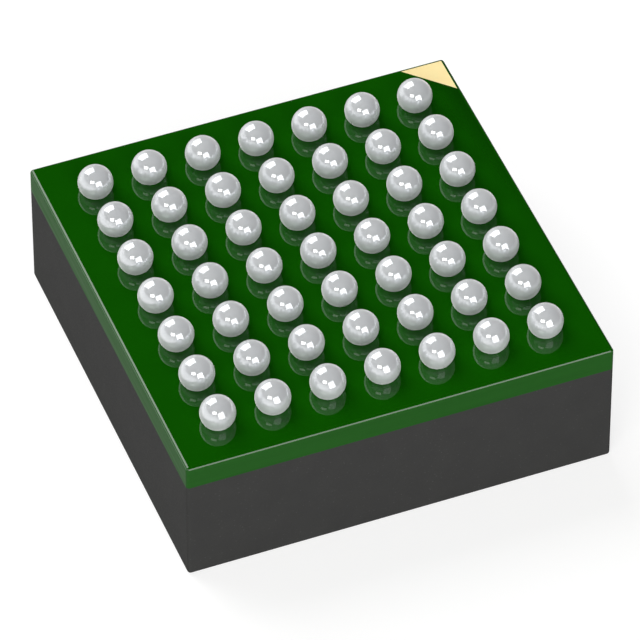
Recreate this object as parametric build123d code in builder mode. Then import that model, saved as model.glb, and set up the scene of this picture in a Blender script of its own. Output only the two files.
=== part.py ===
"""Moulded ball grid array chip, lying on its back with its solder balls up.

The chip is a saw cut block: a black moulded cap below, a green laminate substrate above it, and a
square grid of solder balls on the substrate. Inside the cap a silicon die is glued to a copper flag
on the substrate's inner face, and fine wires run from the die's edge to a ring of bond fingers.

Frame: the origin is the centre of the cap's flat outer face, on which the chip lies, and +Z points
out of the ball side. Ball A1 and the gold corner mark are at +X +Y. All lengths are in millimetres.
"""

import os
from math import sqrt

from build123d import *

# Package outline
body_length = 6.25
body_width = 6.25
cap_height = 1.70
substrate_thickness = 0.37
edge_radius = 0.05

# Solder balls: the solder wets a round land and bulges over it
ball_rows = 7
ball_columns = 7
ball_pitch = 0.80
ball_diameter = 0.50
land_diameter = 0.40

# Gold mark in the substrate's A1 corner, and the round dimple that marks A1 on the cap
mark_leg = 0.61
mark_thickness = 0.03
dimple_diameter = 0.50
dimple_depth = 0.03
dimple_inset = 0.70

# Die, its adhesive and the copper flag that it is glued to
die_length = 3.20
die_width = 3.20
die_thickness = 0.30
adhesive_thickness = 0.03
adhesive_margin = 0.05
flag_margin = 0.15
copper_thickness = 0.02

# Bond wires, their pads along the die's edges and the fingers round the die
wires_per_side = 6
wire_diameter = 0.03
wire_loop_height = 0.16
wire_flat_run = 0.18
wire_stitch_height = 0.05
pad_pitch = 0.48
pad_inset = 0.09
finger_pitch = 0.66
finger_gap = 0.45
finger_length = 0.30
finger_width = 0.12

# Levels, from the cap's outer face up
seam_level = cap_height
ball_face_level = cap_height + substrate_thickness

# Levels inside the cap, down from the seam with the substrate
copper_level = seam_level - copper_thickness
adhesive_level = copper_level - adhesive_thickness
die_face_level = adhesive_level - die_thickness
loop_level = die_face_level - wire_loop_height

ball_radius = ball_diameter / 2
land_radius = land_diameter / 2
ball_centre_height = sqrt(ball_radius**2 - land_radius**2)
row_letters = "abcdefghijklmnopqrstuvwxyz"


def middle_out(index, count, pitch):
    """Place of one item of an evenly spaced row that is centred on zero."""
    return (index - (count - 1) / 2) * pitch


def finish(piece, name):
    """Labels a finished piece and writes it as its own STEP file."""
    piece.part.label = name
    export_step(piece.part, f"parts/{name}.step")


os.makedirs("parts", exist_ok=True)

# The whole moulded block, before the cap and the substrate are told apart
with BuildPart() as block:
    Box(
        body_length,
        body_width,
        ball_face_level,
        align=(Align.CENTER, Align.CENTER, Align.MIN),
    )
    fillet(block.edges(), edge_radius)

# Gold mark: a right triangle set flush into the corner of the ball side, up to the rounded edges
mark_corner_x = body_length / 2 - edge_radius
mark_corner_y = body_width / 2 - edge_radius
with BuildPart() as pin_one_mark:
    with BuildSketch(Plane.XY.offset(ball_face_level)):
        with BuildLine():
            Polyline(
                (mark_corner_x, mark_corner_y),
                (mark_corner_x - mark_leg, mark_corner_y),
                (mark_corner_x, mark_corner_y - mark_leg),
                close=True,
            )
        make_face()
    extrude(amount=-mark_thickness)
finish(pin_one_mark, "pin_one_mark")

# Substrate: the block above the seam, with a shallow pocket for the mark
with BuildPart() as substrate:
    add(block.part)
    split(bisect_by=Plane.XY.offset(seam_level), keep=Keep.TOP)
    add(pin_one_mark.part, mode=Mode.SUBTRACT)
finish(substrate, "substrate")

# Copper flag under the die, plated on the substrate's inner face
with BuildPart() as die_flag:
    with BuildSketch(Plane.XY.offset(seam_level)):
        Rectangle(die_length + 2 * flag_margin, die_width + 2 * flag_margin)
    extrude(amount=-copper_thickness)
finish(die_flag, "die_flag")

# Adhesive that squeezes out a little all round the die
with BuildPart() as die_adhesive:
    with BuildSketch(Plane.XY.offset(copper_level)):
        Rectangle(die_length + 2 * adhesive_margin, die_width + 2 * adhesive_margin)
    extrude(amount=-adhesive_thickness)
finish(die_adhesive, "die_adhesive")

# Silicon die, active face down in this pose
with BuildPart() as die:
    with BuildSketch(Plane.XY.offset(adhesive_level)):
        Rectangle(die_length, die_width)
    extrude(amount=-die_thickness)
finish(die, "die")

# Four sides of the die, each with its direction out, its direction along and the die's reach that way
sides = [
    (Vector(0, -1), Vector(1, 0), die_width / 2),
    (Vector(1, 0), Vector(0, 1), die_length / 2),
    (Vector(0, 1), Vector(-1, 0), die_width / 2),
    (Vector(-1, 0), Vector(0, -1), die_length / 2),
]

# Bond fingers: short copper strips that stand round the die and point away from it
with BuildPart() as bond_fingers:
    for outward, along, reach in sides:
        finger_middle = reach + finger_gap + finger_length / 2
        for index in range(wires_per_side):
            centre = outward * finger_middle + along * middle_out(index, wires_per_side, finger_pitch)
            finger_plane = Plane(
                origin=(centre.X, centre.Y, seam_level), x_dir=outward, z_dir=(0, 0, 1)
            )
            with BuildSketch(finger_plane):
                Rectangle(finger_length, finger_width)
            extrude(amount=-copper_thickness)
finish(bond_fingers, "bond_fingers")

# Bond wires: straight off the die, over a flat loop, and down to the middle of each finger
with BuildPart() as bond_wires:
    for outward, along, reach in sides:
        for index in range(wires_per_side):
            pad = outward * (reach - pad_inset) + along * middle_out(index, wires_per_side, pad_pitch)
            stitch = outward * (reach + finger_gap + finger_length / 2)
            stitch += along * middle_out(index, wires_per_side, finger_pitch)
            shoulder = pad + (stitch - pad).normalized() * wire_flat_run
            with BuildLine():
                Polyline(
                    (pad.X, pad.Y, die_face_level),
                    (pad.X, pad.Y, loop_level),
                    (shoulder.X, shoulder.Y, loop_level),
                    (stitch.X, stitch.Y, copper_level - wire_stitch_height),
                    (stitch.X, stitch.Y, copper_level),
                )
            with BuildSketch(Plane(origin=(pad.X, pad.Y, die_face_level), z_dir=(0, 0, -1))):
                RegularPolygon(wire_diameter / 2, 6)
            sweep(transition=Transition.RIGHT)
finish(bond_wires, "bond_wires")

# Moulded cap: the block below the seam, moulded close round the die, the copper and every wire
with BuildPart() as mould_cap:
    add(block.part)
    split(bisect_by=Plane.XY.offset(seam_level), keep=Keep.BOTTOM)
    for inner_piece in (die_flag, die_adhesive, die, bond_fingers, bond_wires):
        add(inner_piece.part, mode=Mode.SUBTRACT)
    with BuildSketch(Plane.XY):
        with Locations((body_length / 2 - dimple_inset, body_width / 2 - dimple_inset)):
            Circle(dimple_diameter / 2)
    extrude(amount=dimple_depth, mode=Mode.SUBTRACT)
finish(mould_cap, "mould_cap")

# Solder balls: row A and column 1 meet at the gold mark
for row in range(ball_rows):
    for column in range(ball_columns):
        ball_x = -middle_out(column, ball_columns, ball_pitch)
        ball_y = -middle_out(row, ball_rows, ball_pitch)
        with BuildPart() as ball:
            with Locations((ball_x, ball_y, ball_face_level + ball_centre_height)):
                Sphere(ball_radius)
            split(bisect_by=Plane.XY.offset(ball_face_level), keep=Keep.TOP)
        finish(ball, f"ball_{row_letters[row]}{column + 1}")
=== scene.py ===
"""Moulded ball grid array chip, lying on its back with its solder balls up.

All lengths here are in metres. The origin is the centre of the cap's flat outer face, on which the
chip lies, and +Z points out of the ball side. Ball A1 and the gold corner mark are at +X +Y.
"""

import math

import bmesh
import bpy
from mathutils import Matrix, Vector


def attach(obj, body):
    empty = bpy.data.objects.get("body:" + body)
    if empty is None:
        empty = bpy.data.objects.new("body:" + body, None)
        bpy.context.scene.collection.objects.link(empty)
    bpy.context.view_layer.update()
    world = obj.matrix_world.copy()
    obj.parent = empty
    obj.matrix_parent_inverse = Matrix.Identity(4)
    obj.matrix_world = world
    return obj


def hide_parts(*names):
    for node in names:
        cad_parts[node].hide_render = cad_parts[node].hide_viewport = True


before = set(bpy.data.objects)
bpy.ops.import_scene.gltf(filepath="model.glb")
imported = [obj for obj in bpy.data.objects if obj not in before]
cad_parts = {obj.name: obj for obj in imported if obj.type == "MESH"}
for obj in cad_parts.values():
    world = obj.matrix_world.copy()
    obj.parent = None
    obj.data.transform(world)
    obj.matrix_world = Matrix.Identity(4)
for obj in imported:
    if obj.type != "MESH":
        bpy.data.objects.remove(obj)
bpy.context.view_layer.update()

MM = 0.001

# Package outline
BODY_SIDE = 6.25 * MM
EDGE_RADIUS = 0.05 * MM
EDGE_SEGMENTS = 6
SHARP_ANGLE = math.radians(25)
SEAM_LEVEL = 1.70 * MM
BALL_FACE_LEVEL = 2.07 * MM
MASK_THICKNESS = 0.03 * MM
CUT_TOLERANCE = 1e-8

# Solder balls
BALL_ROWS = "abcdefg"
BALL_COLUMNS = 7
BALL_PITCH = 0.80 * MM
BALL_RADIUS = 0.25 * MM
BALL_CENTRE_HEIGHT = 0.15 * MM
BALL_SEGMENTS = 64
BALL_RINGS = 40

# Gold mark in the A1 corner
MARK_CORNER = BODY_SIDE / 2 - EDGE_RADIUS
MARK_LEG = 0.61 * MM


def piece_from(mesh_maker, name, slot_name, material, *nodes):
    """Turns a finished bmesh into a piece that rides on the chip and stands for CAD nodes."""
    mesh = bpy.data.meshes.new(name)
    mesh_maker.to_mesh(mesh)
    mesh_maker.free()
    piece = bpy.data.objects.new(name, mesh)
    bpy.context.scene.collection.objects.link(piece)
    piece.data.materials.append(material)
    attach(piece, "root")
    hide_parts(*nodes)
    return piece


# Materials


class Finish:
    """A material's node tree, with the few steps that this chip's finishes are made of."""

    def __init__(self, name):
        self.material = bpy.data.materials.new(name)
        self.material.use_nodes = True
        self.nodes = self.material.node_tree.nodes
        self.links = self.material.node_tree.links
        self.shader = self.nodes["Principled BSDF"]
        self.place = self.nodes.new("ShaderNodeTexCoord").outputs["Object"]

    def set(self, **values):
        """Sets plain numbers on the shader's own sockets."""
        for name, value in values.items():
            self.shader.inputs[name.replace("_", " ")].default_value = value

    def stretched(self, scale):
        """Object coordinates in a grid of this many cells a metre along X, Y and Z."""
        mapping = self.nodes.new("ShaderNodeMapping")
        mapping.inputs["Scale"].default_value = scale
        self.links.new(self.place, mapping.inputs["Vector"])
        return mapping.outputs["Vector"]

    def noise(self, cells, detail=3.0, rough=0.5, lean=(1.0, 1.0, 1.0)):
        """Soft random clouds, with this many cells to a metre."""
        node = self.nodes.new("ShaderNodeTexNoise")
        node.inputs["Scale"].default_value = 1.0
        node.inputs["Detail"].default_value = detail
        node.inputs["Roughness"].default_value = rough
        scale = [cells * part for part in lean]
        self.links.new(self.stretched(scale), node.inputs["Vector"])
        return node.outputs["Fac"]

    def specks(self, cells):
        """Distance to the nearest of a scatter of points, with this many cells to a metre."""
        node = self.nodes.new("ShaderNodeTexVoronoi")
        node.inputs["Scale"].default_value = 1.0
        self.links.new(self.stretched((cells, cells, cells)), node.inputs["Vector"])
        return node.outputs["Distance"]

    def ramp(self, value, stops):
        """Colours along a value. A stop is (place, red, green, blue)."""
        node = self.nodes.new("ShaderNodeValToRGB")
        points = node.color_ramp.elements
        while len(points) < len(stops):
            points.new(0.5)
        for point, (place, red, green, blue) in zip(points, stops):
            point.position = place
            point.color = (red, green, blue, 1.0)
        self.links.new(value, node.inputs["Fac"])
        return node.outputs["Color"]

    def span(self, value, low, high, source=(0.3, 0.7)):
        """A value carried to the span from low to high."""
        node = self.nodes.new("ShaderNodeMapRange")
        node.inputs["From Min"].default_value = source[0]
        node.inputs["From Max"].default_value = source[1]
        node.inputs["To Min"].default_value = low
        node.inputs["To Max"].default_value = high
        self.links.new(value, node.inputs["Value"])
        return node.outputs["Result"]

    def mix(self, factor, first, second):
        """First colour where factor is 0, second where it is 1."""
        node = self.nodes.new("ShaderNodeMix")
        node.data_type = "RGBA"
        self.links.new(factor, node.inputs["Factor"])
        self.links.new(first, node.inputs["A"])
        self.links.new(second, node.inputs["B"])
        return node.outputs["Result"]

    def colour(self, output):
        self.links.new(output, self.shader.inputs["Base Color"])

    def roughness(self, output):
        self.links.new(output, self.shader.inputs["Roughness"])

    def relief(self, height, depth, strength=1.0):
        """Fine relief of this depth in metres."""
        node = self.nodes.new("ShaderNodeBump")
        node.inputs["Strength"].default_value = strength
        node.inputs["Distance"].default_value = depth
        self.links.new(height, node.inputs["Height"])
        self.links.new(node.outputs["Normal"], self.shader.inputs["Normal"])


def mould_compound():
    """Dark grey epoxy with a matt spark eroded skin and tiny pale grains of silica."""
    finish = Finish("mould_compound")
    finish.set(Specular_IOR_Level=0.08)
    cloud = finish.noise(2500, detail=4)
    grain = finish.noise(60000, detail=2)
    dark = finish.ramp(cloud, [(0.3, 0.0455, 0.0455, 0.045), (0.7, 0.0495, 0.0495, 0.0485)])
    pale = finish.ramp(cloud, [(0.3, 0.060, 0.060, 0.060), (0.7, 0.085, 0.085, 0.083)])
    speck = finish.span(finish.specks(14000), 1.0, 0.0, source=(0.05, 0.16))
    finish.colour(finish.mix(speck, dark, pale))
    finish.roughness(finish.span(grain, 0.62, 0.80))
    finish.relief(grain, 2.0e-6, 0.5)
    return finish.material


def solder_mask(name, index):
    """Deep green solder mask of this refractive index, glossy, with a faint orange peel."""
    finish = Finish(name)
    finish.set(IOR=index)
    cloud = finish.noise(900, detail=3)
    finish.colour(finish.ramp(cloud, [(0.3, 0.0034, 0.073, 0.0002), (0.7, 0.0038, 0.078, 0.0003)]))
    finish.roughness(finish.span(finish.noise(5000), 0.02, 0.035))
    finish.relief(finish.noise(6000, detail=1), 0.3e-6, 0.1)
    return finish.material


def laminate_edge_and_painted_sheen():
    """Saw-cut green laminate, dull, with fine layers and score marks; its pale tone is partly
    painted sheen.
    """
    finish = Finish("laminate_edge_and_painted_sheen")
    finish.set(Specular_IOR_Level=0.08)
    layers = finish.noise(1500, detail=3, lean=(0.4, 0.4, 16.0))
    # Pale green: partly the laminate's own tone, partly painted sheen of the sides
    finish.colour(finish.ramp(layers, [(0.3, 0.0155, 0.089, 0.0120), (0.7, 0.0175, 0.101, 0.0135)]))
    finish.roughness(finish.span(layers, 0.35, 0.50))
    finish.relief(layers, 1.5e-6, 0.3)
    return finish.material


def bright_solder():
    """Reflowed solder: bright and smooth under a thin milky bloom."""
    finish = Finish("bright_solder")
    finish.set(Metallic=0.38, Specular_IOR_Level=0.1, Sheen_Weight=1.0, Sheen_Roughness=0.45)
    bloom = finish.noise(4000, detail=3)
    grain = finish.noise(30000, detail=2)
    finish.colour(finish.ramp(bloom, [(0.3, 0.715, 0.735, 0.765), (0.7, 0.755, 0.775, 0.800)]))
    finish.roughness(finish.span(bloom, 0.02, 0.035))
    finish.relief(grain, 0.2e-6, 0.05)
    return finish.material


def gold_plate():
    """Pale, satin gold over nickel."""
    finish = Finish("gold_plate")
    finish.set(Metallic=0.05, Specular_IOR_Level=0.3)
    brushing = finish.noise(8000, detail=3)
    finish.colour(finish.ramp(brushing, [(0.3, 1.0, 0.80, 0.39), (0.7, 1.0, 0.83, 0.42)]))
    finish.roughness(finish.span(brushing, 0.40, 0.55))
    finish.relief(brushing, 1.0e-6, 0.2)
    return finish.material


def inner_metal(name, low, high, cells, rough):
    """Metal inside the cap: two shades of one colour, in clouds."""
    finish = Finish(name)
    finish.set(Metallic=1.0)
    cloud = finish.noise(cells)
    finish.colour(finish.ramp(cloud, [(0.3, *low), (0.7, *high)]))
    finish.roughness(finish.span(cloud, rough, rough + 0.15))
    return finish.material


def silicon():
    """Die: dark polished silicon with a faint grid of circuit blocks."""
    finish = Finish("silicon")
    finish.set(Metallic=0.4)
    blocks = finish.noise(3000, detail=0)
    finish.colour(finish.ramp(blocks, [(0.3, 0.10, 0.11, 0.14), (0.7, 0.20, 0.21, 0.26)]))
    finish.roughness(finish.span(blocks, 0.12, 0.22))
    return finish.material


def silver_epoxy():
    """Die adhesive: grey epoxy full of silver flakes."""
    finish = Finish("silver_epoxy")
    flakes = finish.specks(20000)
    finish.colour(finish.ramp(flakes, [(0.2, 0.62, 0.62, 0.60), (0.7, 0.34, 0.34, 0.33)]))
    finish.roughness(finish.span(flakes, 0.4, 0.7))
    return finish.material


# The mask's rounded rim catches more light than its flat face
MASK_INDEX = 1.51
MASK_RIM_INDEX = 1.74

solder_finish = bright_solder()
mask_finish = solder_mask("solder_mask", MASK_INDEX)
mask_rim_finish = solder_mask("solder_mask_rim", MASK_RIM_INDEX)
laminate_and_painted_sheen_finish = laminate_edge_and_painted_sheen()
gold_finish = gold_plate()


# CAD nodes that keep their own shape

own_shape = {
    "mould_cap": mould_compound(),
    "pin_one_mark": gold_finish,
    "die": silicon(),
    "die_adhesive": silver_epoxy(),
    "die_flag": inner_metal("flag_copper", (0.72, 0.36, 0.22), (0.82, 0.44, 0.28), 4000, 0.3),
    "bond_fingers": gold_finish,
    "bond_wires": inner_metal("gold_wire", (0.95, 0.66, 0.28), (1.0, 0.74, 0.34), 9000, 0.2),
}
for node_name, material in own_shape.items():
    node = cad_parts[node_name]
    for slot in node.material_slots:
        slot.link = "OBJECT"
        slot.material = material


# Substrate: one rounded block, cut into the laminate and the glossy mask on its ball side


def rounded_block():
    """The whole moulded block with all its edges rounded."""
    block = bmesh.new()
    bmesh.ops.create_cube(block, size=1.0)
    bmesh.ops.scale(block, vec=(BODY_SIDE, BODY_SIDE, BALL_FACE_LEVEL), verts=block.verts)
    bmesh.ops.translate(block, vec=(0, 0, BALL_FACE_LEVEL / 2), verts=block.verts)
    bmesh.ops.bevel(
        block,
        geom=block.edges[:],
        affect="EDGES",
        offset=EDGE_RADIUS,
        offset_type="OFFSET",
        segments=EDGE_SEGMENTS,
        profile=0.5,
        material=-1,
    )
    return block


def cut_level(block, level, keep_above):
    """Cuts the block at a level and closes the cut."""
    cut = bmesh.ops.bisect_plane(
        block,
        geom=block.verts[:] + block.edges[:] + block.faces[:],
        dist=CUT_TOLERANCE,
        plane_co=(0, 0, level),
        plane_no=(0, 0, 1),
        clear_inner=keep_above,
        clear_outer=not keep_above,
    )
    rim = [item for item in cut["geom_cut"] if isinstance(item, bmesh.types.BMEdge)]
    bmesh.ops.contextual_create(block, geom=rim)


def soften(block):
    """Smooth faces, with sharp edges where two meet at more than the sharp angle."""
    for face in block.faces:
        face.smooth = True
    for edge in block.edges:
        edge.smooth = edge.calc_face_angle(0.0) < SHARP_ANGLE


def level_normals(piece):
    """Flat faces shade flat, and the rounded edges turn evenly between them.

    The mesh is enlarged meanwhile, because very small faces count as nothing to the modifier.
    """
    piece.data.transform(Matrix.Scale(1 / MM, 4))
    modifier = piece.modifiers.new("level normals", "WEIGHTED_NORMAL")
    modifier.mode = "FACE_AREA"
    modifier.keep_sharp = True
    evaluated = piece.evaluated_get(bpy.context.evaluated_depsgraph_get())
    levelled = bpy.data.meshes.new_from_object(evaluated)
    levelled.transform(Matrix.Scale(MM, 4))
    piece.modifiers.clear()
    piece.data = levelled


def mark_opening():
    """A prism that cuts the gold mark's place out of the mask."""
    prism = bmesh.new()
    corner = prism.verts.new((MARK_CORNER, MARK_CORNER, BALL_FACE_LEVEL + MASK_THICKNESS))
    left = prism.verts.new((MARK_CORNER - MARK_LEG, MARK_CORNER, corner.co.z))
    front = prism.verts.new((MARK_CORNER, MARK_CORNER - MARK_LEG, corner.co.z))
    face = prism.faces.new((corner, left, front))
    walls = bmesh.ops.extrude_face_region(prism, geom=[face])
    moved = [item for item in walls["geom"] if isinstance(item, bmesh.types.BMVert)]
    bmesh.ops.translate(prism, vec=(0, 0, -3 * MASK_THICKNESS), verts=moved)
    bmesh.ops.recalc_face_normals(prism, faces=prism.faces)
    mesh = bpy.data.meshes.new("mark_opening")
    prism.to_mesh(mesh)
    prism.free()
    cutter = bpy.data.objects.new("mark_opening", mesh)
    bpy.context.scene.collection.objects.link(cutter)
    return cutter


# A face whose normal's Z lies between these is on the rounded rim
UPRIGHT_BELOW = 0.05
LEVEL_ABOVE = 0.999

laminate = rounded_block()
cut_level(laminate, SEAM_LEVEL, keep_above=True)
cut_level(laminate, BALL_FACE_LEVEL - MASK_THICKNESS, keep_above=False)
soften(laminate)
level_normals(piece_from(laminate, "laminate", "green_laminate", laminate_and_painted_sheen_finish, "substrate"))

mask = rounded_block()
cut_level(mask, BALL_FACE_LEVEL - MASK_THICKNESS, keep_above=True)
mask_piece = piece_from(mask, "ball_side_mask", "green_laminate", mask_finish, "substrate")
opening = mark_opening()
cut = mask_piece.modifiers.new("mark opening", "BOOLEAN")
cut.operation = "DIFFERENCE"
cut.solver = "EXACT"
cut.object = opening
depsgraph = bpy.context.evaluated_depsgraph_get()
mask_mesh = bpy.data.meshes.new_from_object(mask_piece.evaluated_get(depsgraph))
mask_piece.modifiers.clear()
mask_piece.data = mask_mesh
bpy.data.objects.remove(opening)
mask_mesh.materials.append(mask_rim_finish)
mask = bmesh.new()
mask.from_mesh(mask_mesh)
soften(mask)
for face in mask.faces:
    is_rim = UPRIGHT_BELOW < face.normal.z < LEVEL_ABOVE
    face.material_index = 1 if is_rim else 0
mask.to_mesh(mask_mesh)
mask.free()
level_normals(mask_piece)


# Solder balls

for row, letter in enumerate(BALL_ROWS):
    for column in range(BALL_COLUMNS):
        middle = (BALL_COLUMNS - 1) / 2
        centre = Vector(
            (
                (middle - column) * BALL_PITCH,
                (middle - row) * BALL_PITCH,
                BALL_FACE_LEVEL + BALL_CENTRE_HEIGHT,
            )
        )
        ball = bmesh.new()
        bmesh.ops.create_uvsphere(
            ball, u_segments=BALL_SEGMENTS, v_segments=BALL_RINGS, radius=BALL_RADIUS
        )
        bmesh.ops.translate(ball, vec=centre, verts=ball.verts)
        cut_level(ball, BALL_FACE_LEVEL, keep_above=True)
        soften(ball)
        label = f"{letter}{column + 1}"
        piece_from(ball, f"solder_ball_{label}", "solder", solder_finish, f"ball_{label}")


# Camera, as the photograph's own edges and balls place it

IMAGE_SIDE = 640
FOCAL_PIXELS = 7314.36
SENSOR_WIDTH = 36.0
CLIP_START = 0.001
CLIP_END = 10.0
EYE = (-26.1359, -66.8746, 73.3607)
VIEW_DIRECTION = (0.256394, 0.655226, -0.710592)
IMAGE_RIGHT = (0.931285, -0.36429, 0.000118)

eye = Vector(EYE) * MM
forward = Vector(VIEW_DIRECTION).normalized()
right = Vector(IMAGE_RIGHT).normalized()
up = right.cross(forward)
half_pixel = 0.5 / FOCAL_PIXELS
forward = (forward + (up - right) * half_pixel).normalized()
right = (right - forward * right.dot(forward)).normalized()
up = right.cross(forward)
camera_data = bpy.data.cameras.new("camera")
camera_data.sensor_width = SENSOR_WIDTH
camera_data.lens = FOCAL_PIXELS / IMAGE_SIDE * camera_data.sensor_width
camera_data.clip_start = CLIP_START
camera_data.clip_end = CLIP_END
camera = bpy.data.objects.new("camera", camera_data)
turn = Matrix((right, up, -forward)).transposed()
camera.matrix_world = Matrix.Translation(eye) @ turn.to_4x4()
bpy.context.scene.collection.objects.link(camera)
bpy.context.scene.camera = camera


# Softboxes: directions are azimuth from +X towards +Y and elevation, sizes are at unit distance.
# Each is two lamps, one behind the other: the near one shows in gloss, the far one doesn't

GLOSS_DISTANCE = 0.4
MATT_DISTANCE = 0.45
GLOSS_SHARE = 0.68
WHITE = (1.0, 1.0, 1.0)
WARM_WHITE = (1.0, 1.0, 0.94)


def softbox(name, azimuth, elevation, width, height, roll, level, colour=WHITE):
    """A rectangular softbox that faces the chip and shines at this level of white."""
    a = math.radians(azimuth)
    e = math.radians(elevation)
    away = Vector((math.cos(a) * math.cos(e), math.sin(a) * math.cos(e), math.sin(e)))
    side = Vector((0, 0, 1)).cross(away).normalized()
    top = away.cross(side)
    facing = Matrix((side, top, away)).transposed().to_4x4()
    facing = facing @ Matrix.Rotation(math.radians(roll), 4, "Z")
    parts = (("gloss", GLOSS_SHARE, GLOSS_DISTANCE), ("matt", 1 - GLOSS_SHARE, MATT_DISTANCE))
    for part, share, distance in parts:
        lamp_data = bpy.data.lights.new(f"{name}_{part}", "AREA")
        lamp_data.shape = "RECTANGLE"
        lamp_data.size = width * distance
        lamp_data.size_y = height * distance
        lamp_data.energy = share * level * math.pi * lamp_data.size * lamp_data.size_y
        lamp_data.color = colour
        lamp = bpy.data.objects.new(f"{name}_{part}", lamp_data)
        lamp.matrix_world = Matrix.Translation(away * distance) @ facing
        lamp.visible_glossy = part == "gloss"
        bpy.context.scene.collection.objects.link(lamp)


softbox("softbox_back", 108.6, 42.3, 0.76, 0.81, -18, 4.4)
softbox("softbox_left", -136.0, 38.5, 0.45, 0.31, 10, 6.6, WARM_WHITE)
softbox("softbox_front", -85.2, 19.7, 0.70, 0.80, 8, 4.0)


# World: white for the camera. For everything else a pale wall stands behind and left of the chip,
# a little brighter towards the floor, under a dark ceiling, and a weak fill lights matt faces

WALL_BEARING = math.radians(170)
WALL_LEVELS = ((0.0, 0.95), (0.17, 0.80), (0.36, 0.60), (0.41, 0.0))
WALL_FADES_FROM = -0.35
WALL_FULL_FROM = 0.6
CEILING_LEVEL = 0.004
FILL_LEVEL = 0.14

wall_direction = (math.cos(WALL_BEARING), math.sin(WALL_BEARING), 0.0)

world = bpy.data.worlds.new("studio")
world.use_nodes = True
bpy.context.scene.world = world
nodes = world.node_tree.nodes
links = world.node_tree.links
nodes.clear()
output = nodes.new("ShaderNodeOutputWorld")
path = nodes.new("ShaderNodeLightPath")
where = nodes.new("ShaderNodeTexCoord")
split = nodes.new("ShaderNodeSeparateXYZ")
links.new(where.outputs["Generated"], split.inputs["Vector"])
wall_height = nodes.new("ShaderNodeValToRGB")
stops = wall_height.color_ramp.elements
while len(stops) < len(WALL_LEVELS):
    stops.new(0.5)
for stop, (height, level) in zip(stops, WALL_LEVELS):
    stop.position = height
    stop.color = (level, level, level, 1.0)
links.new(split.outputs["Z"], wall_height.inputs["Fac"])
bearing = nodes.new("ShaderNodeVectorMath")
bearing.operation = "DOT_PRODUCT"
bearing.inputs[1].default_value = wall_direction
links.new(where.outputs["Generated"], bearing.inputs[0])
wall_width = nodes.new("ShaderNodeMapRange")
wall_width.interpolation_type = "SMOOTHSTEP"
wall_width.inputs["From Min"].default_value = WALL_FADES_FROM
wall_width.inputs["From Max"].default_value = WALL_FULL_FROM
links.new(bearing.outputs["Value"], wall_width.inputs["Value"])
wall = nodes.new("ShaderNodeMath")
wall.operation = "MULTIPLY_ADD"
wall.inputs[2].default_value = CEILING_LEVEL
links.new(wall_height.outputs["Color"], wall.inputs[0])
links.new(wall_width.outputs["Result"], wall.inputs[1])
fill = nodes.new("ShaderNodeMath")
fill.operation = "MULTIPLY_ADD"
fill.inputs[1].default_value = FILL_LEVEL
links.new(path.outputs["Is Diffuse Ray"], fill.inputs[0])
links.new(wall.outputs["Value"], fill.inputs[2])
seen_white = nodes.new("ShaderNodeMix")
seen_white.data_type = "RGBA"
seen_white.inputs["B"].default_value = (1.0, 1.0, 1.0, 1.0)
links.new(path.outputs["Is Camera Ray"], seen_white.inputs["Factor"])
links.new(fill.outputs["Value"], seen_white.inputs["A"])
backdrop = nodes.new("ShaderNodeBackground")
links.new(seen_white.outputs["Result"], backdrop.inputs["Color"])
links.new(backdrop.outputs["Background"], output.inputs["Surface"])


# Floor: grey paper, lifted to white for the camera. Where it is mirrored, or seen through a clear
# piece, it is lifted on the wall's side only

FLOOR_REACH = 3.0
FLOOR_GREY = 0.35
FLOOR_ROUGHNESS = 0.9
FLOOR_CAMERA_LIFT = 0.72
FLOOR_GLOSS_LIFT = 0.70
FLOOR_LIFT_FROM = -3 * MM
FLOOR_LIFT_TO = 15 * MM

floor_plan = bmesh.new()
bmesh.ops.create_grid(floor_plan, x_segments=1, y_segments=1, size=FLOOR_REACH)
floor_mesh = bpy.data.meshes.new("floor")
floor_plan.to_mesh(floor_mesh)
floor_plan.free()
floor = bpy.data.objects.new("floor", floor_mesh)
bpy.context.scene.collection.objects.link(floor)
paper = bpy.data.materials.new("floor_paper")
paper.use_nodes = True
nodes = paper.node_tree.nodes
links = paper.node_tree.links
shader = nodes["Principled BSDF"]
shader.inputs["Base Color"].default_value = (FLOOR_GREY, FLOOR_GREY, FLOOR_GREY, 1.0)
shader.inputs["Roughness"].default_value = FLOOR_ROUGHNESS
shader.inputs["Specular IOR Level"].default_value = 0.0
path = nodes.new("ShaderNodeLightPath")
where = nodes.new("ShaderNodeTexCoord")
bearing = nodes.new("ShaderNodeVectorMath")
bearing.operation = "DOT_PRODUCT"
bearing.inputs[1].default_value = wall_direction
links.new(where.outputs["Object"], bearing.inputs[0])
wall_side = nodes.new("ShaderNodeMapRange")
wall_side.inputs["From Min"].default_value = FLOOR_LIFT_FROM
wall_side.inputs["From Max"].default_value = FLOOR_LIFT_TO
wall_side.inputs["To Max"].default_value = FLOOR_GLOSS_LIFT
links.new(bearing.outputs["Value"], wall_side.inputs["Value"])
mirrored = nodes.new("ShaderNodeMath")
mirrored.operation = "MAXIMUM"
links.new(path.outputs["Is Glossy Ray"], mirrored.inputs[0])
links.new(path.outputs["Is Transmission Ray"], mirrored.inputs[1])
gloss_lift = nodes.new("ShaderNodeMath")
gloss_lift.operation = "MULTIPLY"
links.new(mirrored.outputs["Value"], gloss_lift.inputs[0])
links.new(wall_side.outputs["Result"], gloss_lift.inputs[1])
lift = nodes.new("ShaderNodeMath")
lift.operation = "MULTIPLY_ADD"
lift.inputs[1].default_value = FLOOR_CAMERA_LIFT
links.new(path.outputs["Is Camera Ray"], lift.inputs[0])
links.new(gloss_lift.outputs["Value"], lift.inputs[2])
shader.inputs["Emission Color"].default_value = (1.0, 1.0, 1.0, 1.0)
links.new(lift.outputs["Value"], shader.inputs["Emission Strength"])
floor.data.materials.append(paper)

bpy.context.scene.view_settings.view_transform = "Standard"
